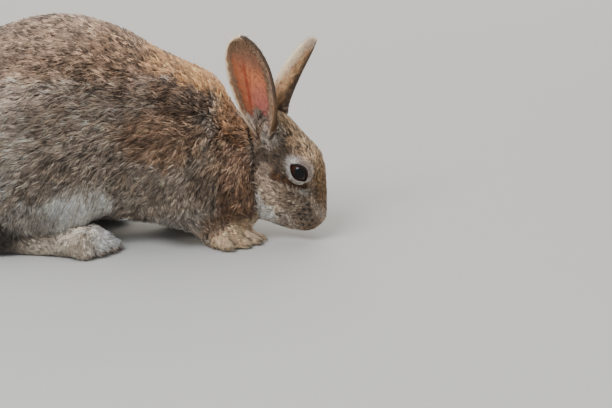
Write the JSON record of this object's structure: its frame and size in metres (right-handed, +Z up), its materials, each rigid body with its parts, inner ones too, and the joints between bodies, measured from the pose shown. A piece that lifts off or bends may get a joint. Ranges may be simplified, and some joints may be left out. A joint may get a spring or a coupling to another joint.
{
  "type": "rabbit",
  "caption": "Life-size crouching rabbit with arched back, long upright ears and lowered head, standing on its four flat-soled feet.",
  "frame": {"origin": "centre of the rabbit's bounding box, on the floor under its feet", "axes": "+X towards the nose, +Y to the rabbit's left, +Z up"},
  "size_m": [0.3614, 0.137, 0.1943],
  "materials": {
    "coat": "dense soft fur, grey-brown with dark and buff banded hairs",
    "foot_coat": "short dense tan fur",
    "ear": "thin skin with short fur, bare and pink inside",
    "eye": "wet, clear cornea over a dark brown iris",
    "claw": "smooth dark horn"
  },
  "bodies": {
    "root": {"claw_fore_left_1": "claw", "claw_fore_left_2": "claw", "claw_fore_left_3": "claw", "claw_fore_left_4": "claw", "claw_fore_right_1": "claw", "claw_fore_right_2": "claw", "claw_fore_right_3": "claw", "claw_fore_right_4": "claw", "claw_hind_left_1": "claw", "claw_hind_left_2": "claw", "claw_hind_left_3": "claw", "claw_hind_left_4": "claw", "claw_hind_right_1": "claw", "claw_hind_right_2": "claw", "claw_hind_right_3": "claw", "claw_hind_right_4": "claw", "ear_left": "ear", "ear_right": "ear", "eye_left": "eye", "eye_right": "eye", "forefoot_left": "foot_coat", "forefoot_right": "foot_coat", "foreleg_left": "coat", "foreleg_right": "coat", "haunch_left": "coat", "haunch_right": "coat", "head": "coat", "hindfoot_left": "foot_coat", "hindfoot_right": "foot_coat", "neck": "coat", "tail": "coat", "trunk": "coat"}
  },
  "joints": []
}
